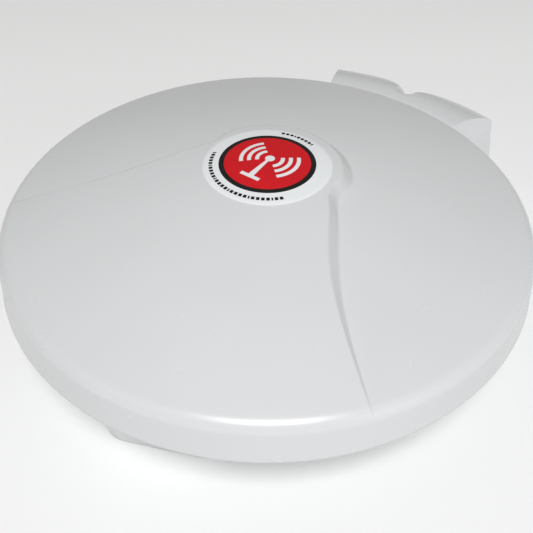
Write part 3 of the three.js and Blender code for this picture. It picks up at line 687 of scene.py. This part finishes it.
def make_lower_housing():
    body = combine(hull_solid(0, -5, HULL_CEILING), section_solid(0, HOUSING_LOW, 0.8), "INTERSECT")
    hollow = combine(hull_solid(HOUSING_WALL, -6, HULL_CEILING), section_solid(HOUSING_WALL, -6),
                     "INTERSECT")
    hollow = combine(hollow, notch_solid(HOUSING_WALL), "DIFFERENCE")
    body = combine(body, notch_solid(0), "DIFFERENCE")
    body = rounded(welded(body), HOUSING_EDGE, 3, 28)
    body = combine(body, hollow, "DIFFERENCE")
    for name in PLATE_SCREWS:
        place = centre_of(name)
        boss = post(SCREW_BOSS_R, 3.3, HOUSING_TOP - 1, place.x, place.y)
        body = combine(body, boss, "UNION")
        body = combine(body, post(SCREW_BORE_R, 0, SCREW_BORE_TOP, place.x, place.y), "DIFFERENCE")
    bolt_z = centre_of("clamp_bolt_right").z
    for side in (-1, 1):
        body = combine(body, rod_along_y(BOLT_PAD_R, 239, 244, side * BOLT_X, bolt_z), "UNION")
        body = combine(body, rod_along_y(BOLT_HOLE_R, 230, 260, side * BOLT_X, bolt_z), "DIFFERENCE")
    roof = (HOUSING_TOP - 5, HOUSING_TOP + 1)
    for name in TRAY_SCREWS:
        place = centre_of(name)
        body = combine(body, post(TRAY_BORE_R, *roof, place.x, place.y), "DIFFERENCE")
    body = combine(body, post(CABLE_HOLE_R, *roof, 0, CABLE_HOLE_Y), "DIFFERENCE")
    stand_for(piece_from("housing_shell", body, "cover_plastic"), "lower_housing")


# --------------------------------------------------------- screws and clamp
BOLT_R, THREAD_PITCH, THREAD_DEPTH = 4.0, 1.25, 0.55
BOLT_HEAD = 5
SCREW_PITCH, SCREW_ROOT, SCREW_PLAIN = 0.9, 0.72, 2
SLOT_HALF, SLOT_DEPTH = 0.36, 1.4


def recessed_screw(head_r, head_h, shank_r, shank_l, recess_r):
    """Pan head screw, head down, seat at z = 0, with a cross recess."""
    profile = [(0, -head_h), (head_r * 0.55, -head_h), (head_r * 0.8, -head_h * 0.86),
               (head_r * 0.94, -head_h * 0.55), (head_r, -head_h * 0.2), (head_r, 0), (shank_r, 0)]
    for turn in range(int((shank_l - shank_r - SCREW_PLAIN) / SCREW_PITCH)):
        z = SCREW_PLAIN + turn * SCREW_PITCH
        profile += [(shank_r, z), (shank_r * SCREW_ROOT, z + SCREW_PITCH / 2)]
    profile += [(shank_r, shank_l - shank_r), (0, shank_l)]
    mesh = lathe_mesh(profile, 32)
    depth = min(head_h * 0.75, SLOT_DEPTH)
    half = SLOT_HALF
    for angle in (0, math.pi / 2):
        slot = loft_mesh([[(x * reach, y, z)
                           for x, y in ((-1, -half), (1, -half), (1, half), (-1, half))]
                          for reach, z in ((recess_r * 1.1, -head_h - 0.3),
                                           (recess_r * 0.45, -head_h + depth))])
        slot.transform(Matrix.Rotation(angle, 4, "Z"))
        mesh = combine(mesh, slot, "DIFFERENCE")
    return mesh


def make_screws():
    kinds = [("plate_screw", recessed_screw(4, 1.5, 1.5, 12, 2.2)),
             ("cover_screw", recessed_screw(4, 2.2, 1.5, 17, 2.4)),
             ("tray_screw", recessed_screw(4, 2.2, 1.5, 10, 2.4))]
    for prefix, mesh in kinds:
        for number, node in enumerate(sorted(name for name in NODES if name.startswith(prefix))):
            place = centre_of(node)
            turned = mesh.copy()
            turned.transform(Matrix.Rotation(0.7 * number, 4, "Z"))
            seat_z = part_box(node)[0].z / MM - min(vertex.co.z for vertex in mesh.vertices)
            piece = piece_from(f"{node}_cross", turned, SLOT_OF[node],
                               place=(place.x * MM, place.y * MM, seat_z * MM))
            stand_for(piece, node)


def along_y(mesh, x, z):
    mesh.transform(Matrix.Translation((x, 0, z)) @ Matrix.Rotation(-math.pi / 2, 4, "X"))
    return mesh


def thread_radius(height, angle, start, end):
    """Rolled thread along the rod, fading in and out at its ends."""
    phase = (height / THREAD_PITCH - angle / (2 * math.pi)) % 1
    fade = min(1, max(0, (height - start) / THREAD_PITCH), max(0, (end - height) / THREAD_PITCH))
    return BOLT_R - THREAD_DEPTH * fade * (0.5 + 0.5 * math.cos(2 * math.pi * phase))


def bolt_mesh(head, end):
    """Round-headed bolt: head and plain shank, rolled thread, then a short point."""
    segments = 40
    thread_start, thread_end = 246, end - 1.6

    def ring(y, radius_at):
        angles = [ring_angle(i, segments) for i in range(segments)]
        return [(radius_at(a) * math.cos(a), radius_at(a) * math.sin(a), y) for a in angles]
    shank = ((4.2, head - BOLT_HEAD), (5.6, head - 4.7), (7.2, head - 3.4), (8, head - 2), (8, head),
             (BOLT_R, head), (BOLT_R, thread_start - 1))
    rings = [ring(y, lambda a, r=r: r) for r, y in shank]
    for y in np.arange(thread_start - 0.8, thread_end, THREAD_PITCH / 8):
        rings.append(ring(y, lambda a, y=y: thread_radius(y, a, thread_start, thread_end)))
    for r, y in ((BOLT_R - 0.1, end - 1.2), (3.2, end)):
        rings.append(ring(y, lambda a, r=r: r))
    return loft_mesh(rings)


def wing_nut_mesh(near):
    hub = along_y(lathe_mesh([(0, near), (6.8, near), (7, near + 0.4), (6.7, near + 1.6), (6.0, near + 5),
                              (5.6, near + 7.4), (5.1, near + 8), (0, near + 8)], 48), 0, 0)
    for side in (-1, 1):
        points = bezier([(8, near + 0.9), (11, near + 2), (15.4, near + 6), (16.5, near + 11)], 9)
        tip = bezier([(16.5, near + 11), (16.9, near + 14.6), (13.6, near + 15), (12.4, near + 13)], 8)[1:]
        inner = bezier([(12.4, near + 13), (11, near + 10), (9, near + 8), (4, near + 7.2)], 9)[1:]
        wing = [(4, near + 1)] + [tuple(p) for p in (*points, *tip, *inner)]
        wing = [(side * x, min(y, near + 14.4)) for x, y in wing]
        blade = rounded(prism_mesh(wing, -1.4, 1.4), 0.7, 3, 50)
        hub = combine(hub, blade, "UNION")
    bore = rod_along_y(BOLT_R + 0.15, near - 1, near + 20, 0, 0)
    return combine(hub, bore, "DIFFERENCE")


def make_clamp():
    for side in ("left", "right"):
        bolt, washer, nut = f"clamp_bolt_{side}", f"clamp_washer_{side}", f"wing_nut_{side}"
        bolt_low, bolt_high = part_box(bolt)
        place = centre_of(bolt)
        mesh = along_y(bolt_mesh(bolt_low.y / MM + BOLT_HEAD, bolt_high.y / MM), place.x, place.z)
        stand_for(piece_from(f"{bolt}_threaded", mesh, SLOT_OF[bolt]), bolt)
        washer_low, washer_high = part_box(washer)
        y0, y1 = washer_low.y / MM, washer_high.y / MM
        inner = BOLT_R + 0.5
        ring = lathe_mesh([(inner, y0), (8.2, y0), (8.5, y0 + 0.3),
                           (8.5, y1 - 0.3), (8.2, y1), (inner, y1)], 56)
        ring = along_y(ring, place.x, place.z)
        stand_for(piece_from(f"{washer}_bevelled", ring, SLOT_OF[washer], sharp=30), washer)
        mesh = wing_nut_mesh(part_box(nut)[0].y / MM)
        mesh.transform(Matrix.Translation((place.x, 0, place.z)))
        stand_for(piece_from(f"{nut}_cast", mesh, SLOT_OF[nut], sharp=40), nut)
    make_jaw(centre_of("clamp_bolt_right"))


JAW_Y, TONGUE_HALF, TONGUE_Y, VEE_DEPTH = 249.5, 14.0, 245.2, 3.6


def make_jaw(bolt):
    jaw_low, jaw_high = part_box("clamp_jaw")
    half, back = jaw_high.x / MM, jaw_high.y / MM
    z0, z1 = jaw_low.z / MM, jaw_high.z / MM
    right = [(TONGUE_HALF - 0.8, TONGUE_Y), (TONGUE_HALF, TONGUE_Y + 0.8), (TONGUE_HALF, JAW_Y),
             (half, JAW_Y), (half, back - 2.4), (half - 0.7, back - 1), (half - 1.7, back - 0.3),
             (half - 3, back)]
    outline = [(0, TONGUE_Y + VEE_DEPTH)] + right + [(-x, y) for x, y in reversed(right)]
    body = rounded(prism_mesh(outline, z0, z1), 0.6, 3, 28)
    window = prism_mesh([(-12, TONGUE_Y + VEE_DEPTH + 4), (12, TONGUE_Y + VEE_DEPTH + 4),
                         (12, back + 1), (-12, back + 1)], z0 + 4, z1 - 4)
    body = combine(body, window, "DIFFERENCE")
    for side in (-1, 1):
        hole = rod_along_y(BOLT_R + 0.5, JAW_Y - 5, back + 5, side * bolt.x, bolt.z)
        body = combine(body, hole, "DIFFERENCE")
    stand_for(piece_from("jaw_casting", body, SLOT_OF["clamp_jaw"], sharp=30), "clamp_jaw")


def make_jaw_pad():
    pad_low, pad_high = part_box("jaw_pad")
    half, tip, thickness = pad_high.x / MM, pad_high.y / MM, 2.0
    edge = pad_low.y / MM + thickness
    outline = [(-half, edge - thickness), (0, tip - thickness), (half, edge - thickness),
               (half, edge), (0, tip), (-half, edge)]
    mesh = rounded(prism_mesh(outline, pad_low.z / MM, pad_high.z / MM), 0.35, 3, 28)
    stand_for(piece_from("jaw_pad_moulding", mesh, SLOT_OF["jaw_pad"], sharp=50), "jaw_pad")


# ---------------------------------------------------------------- underside
PLATE_THICKNESS, PLATE_INSET, PORT_HOLE_HALF, VENT_HOLE_R = 3.0, 3.5, 20.3, 3.4
PIN_R, PIN_BORE_R, PIN_TOP = 3.5, 1.6, 21.7
COUNTERSINK = [(0, -1), (4.9, -1), (4.9, 0), (4.6, 0.3), (4.6, 1.6), (2.1, 1.6), (2.1, 5), (0, 5)]
F_THREAD_R, F_THREAD_ROOT, F_THREAD_PITCH = 4.8, 4.35, 0.8
VENT_PROFILE = [(0, 0.8), (2.6, 0.8), (3.0, 0.95), (3.1, 1.2), (3.1, 3.3), (4.4, 3.3), (4.2, 3.8),
                (3, 5.6), (0, 5.6)]


def make_bottom_plate():
    port = centre_of("f_socket_body")
    vent = centre_of("vent_plug")
    body = prism_mesh(hull_outline(PLATE_INSET, PLATE_THICKNESS), 0, PLATE_THICKNESS)
    body = combine(body, post(BLOCK_OUTER_R - PLATE_INSET, -1, 10, 0, 0, 288), "INTERSECT")
    body = combine(body, notch_solid(PLATE_INSET), "DIFFERENCE")
    half = PORT_HOLE_HALF
    corners = ((-1, -1), (1, -1), (1, 1), (-1, 1))
    hole = prism_mesh([(port.x + x * half, port.y + y * half) for x, y in corners], -1, 10)
    body = combine(body, hole, "DIFFERENCE")
    body = combine(body, post(VENT_HOLE_R, -1, 5, vent.x, vent.y), "DIFFERENCE")
    for name in PLATE_SCREWS:
        place = centre_of(name)
        sink = lathe_mesh(COUNTERSINK, 40)
        sink.transform(Matrix.Translation((place.x, place.y, 0)))
        body = combine(body, sink, "DIFFERENCE")
    for name in NODES:
        if name.startswith("board_screw"):
            place = centre_of(name)
            body = combine(body, post(PIN_R, 2, PIN_TOP, place.x, place.y), "UNION")
            body = combine(body, post(PIN_BORE_R, 12, 22, place.x, place.y), "DIFFERENCE")
    stand_for(piece_from("bottom_plate_moulding", body, SLOT_OF["bottom_plate"]), "bottom_plate")


def make_socket():
    """Threaded socket body, shoulder and vent plug, turned finer than the CAD."""
    port, vent = centre_of("f_socket_body"), centre_of("vent_plug")
    profile = [(2.6, 10), (4.3, 10), (4.75, 10.5)]
    for turn in range(12):
        profile += [(F_THREAD_R, 11 + F_THREAD_PITCH * turn), (F_THREAD_ROOT, 11.4 + F_THREAD_PITCH * turn)]
    profile += [(F_THREAD_R, 20.6), (F_THREAD_R, 24.7), (7.3, 24.7), (7.5, 24.9), (7.5, 27.5), (7.3, 27.7),
                (F_THREAD_R, 27.7), (F_THREAD_R, 37), (2.6, 37)]
    stand_for(piece_from("f_socket_threaded", lathe_mesh(profile, 48), SLOT_OF["f_socket_body"], sharp=30,
                         place=(port.x * MM, port.y * MM, 0)), "f_socket_body")
    stand_for(piece_from("vent_plug_moulding", lathe_mesh(VENT_PROFILE, 40), SLOT_OF["vent_plug"],
                         place=(vent.x * MM, vent.y * MM, 0)), "vent_plug")


# ------------------------------------------------------------------- stage
STAGE_CENTRE = (0, 0, 0.1)
FLOOR_HALF, FLOOR_COLOUR = 6.0, (0.89, 0.89, 0.89, 1)
WORLD_COLOUR, WORLD_STRENGTH = (1.0, 0.94, 0.88, 1), 0.13


def area_light(name, direction, distance, size, power, colour):
    data = bpy.data.lights.new(name, "AREA")
    data.energy = power
    data.color = colour
    data.size = size
    light = bpy.data.objects.new(name, data)
    away = Vector(direction).normalized()
    light.location = Vector(STAGE_CENTRE) + away * distance
    light.rotation_mode = "QUATERNION"
    light.rotation_quaternion = away.to_track_quat("Z", "Y")
    bpy.context.scene.collection.objects.link(light)


def make_stage():
    mesh = bpy.data.meshes.new("floor")
    half = FLOOR_HALF
    corners = [(-half, -half, 0), (half, -half, 0), (half, half, 0), (-half, half, 0)]
    mesh.from_pydata(corners, [], [(0, 1, 2, 3)])
    floor = bpy.data.objects.new("floor", mesh)
    bpy.context.scene.collection.objects.link(floor)
    material, _, shader = new_material("floor")
    shader.inputs["Base Color"].default_value = FLOOR_COLOUR
    shader.inputs["Roughness"].default_value = 0.9
    mesh.materials.append(material)
    world = bpy.data.worlds.new("studio")
    world.use_nodes = True
    bpy.context.scene.world = world
    background = world.node_tree.nodes["Background"]
    background.inputs["Color"].default_value = WORLD_COLOUR
    background.inputs["Strength"].default_value = WORLD_STRENGTH
    area_light("overhead", (0.35, -0.45, 1), 4.4, 1.8, 190, (0.985, 0.995, 1.0))
    area_light("front", (1.0, -0.25, 0.35), 2.2, 1.0, 3, (0.93, 0.96, 1.0))
    scene = bpy.context.scene
    scene.view_settings.view_transform = "Standard"
    scene.view_settings.look = "None"


make_camera()
finish_cad_nodes()
make_top_cover()
make_label()
make_label_marks()
make_lower_housing()
make_screws()
make_clamp()
make_jaw_pad()
make_bottom_plate()
make_socket()
make_stage()
